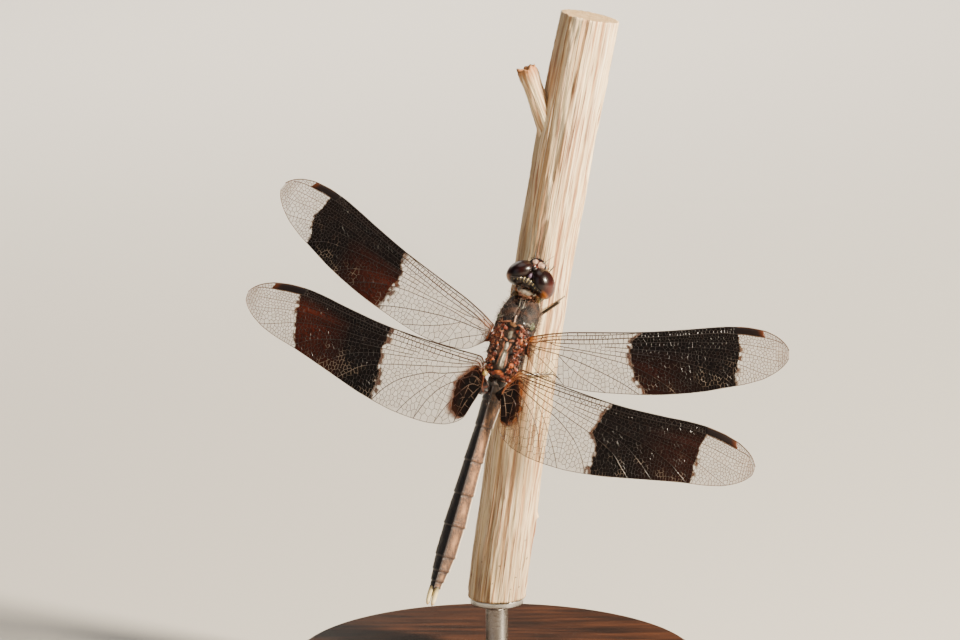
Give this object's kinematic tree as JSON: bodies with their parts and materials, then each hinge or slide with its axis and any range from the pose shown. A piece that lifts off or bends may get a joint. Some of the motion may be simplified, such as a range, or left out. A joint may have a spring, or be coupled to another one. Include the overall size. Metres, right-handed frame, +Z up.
{
  "type": "dragonfly",
  "caption": "Life-size still model of a band-winged dragonfly gripping a short cut stem, held upright by a rod on a round base.",
  "frame": {"origin": "centre of the round base's flat underside", "axes": "+Z up; the insect's back faces -Y, its right wings point to +X, and the stem stands behind it at +Y"},
  "size_m": [0.0618, 0.052, 0.0811],
  "materials": {
    "perch_bark": "dry fibrous stem, cream and tan with pinkish streaks, matt",
    "base_wood": "dark turned wood, satin varnish",
    "rod_steel": "satin turned steel",
    "dark_shell": "near-black insect shell, satin, with fine hair",
    "rust_shell": "rust-brown and black insect shell with grey bloom, satin",
    "abdomen_shell": "black insect shell with a pinkish tan bloom on one face, matt",
    "eye_shell": "very dark maroon compound eye, glossy",
    "pale_horn": "pale straw-coloured horn, satin",
    "wing_membrane": "thin veined wing film, smoky brown band, clear tip and inner part",
    "leg_shell": "dark grey-brown bristled leg shell, satin"
  },
  "bodies": {
    "root": {"abdomen_01": "abdomen_shell", "abdomen_02": "abdomen_shell", "abdomen_03": "abdomen_shell", "abdomen_04": "abdomen_shell", "abdomen_05": "abdomen_shell", "abdomen_06": "abdomen_shell", "abdomen_07": "abdomen_shell", "abdomen_08": "abdomen_shell", "abdomen_09": "abdomen_shell", "abdomen_10": "abdomen_shell", "antenna_left": "dark_shell", "antenna_right": "dark_shell", "cercus_left": "pale_horn", "cercus_right": "pale_horn", "eye_left": "eye_shell", "eye_right": "eye_shell", "face": "dark_shell", "forewing_left": "wing_membrane", "forewing_right": "wing_membrane", "head": "dark_shell", "hindwing_left": "wing_membrane", "hindwing_right": "wing_membrane", "leg_front_left": "leg_shell", "leg_front_right": "leg_shell", "leg_hind_left": "leg_shell", "leg_hind_right": "leg_shell", "leg_middle_left": "leg_shell", "leg_middle_right": "leg_shell", "prothorax": "dark_shell", "stand_base": "base_wood", "stand_perch": "perch_bark", "stand_rod": "rod_steel", "thorax": "rust_shell"}
  },
  "joints": []
}
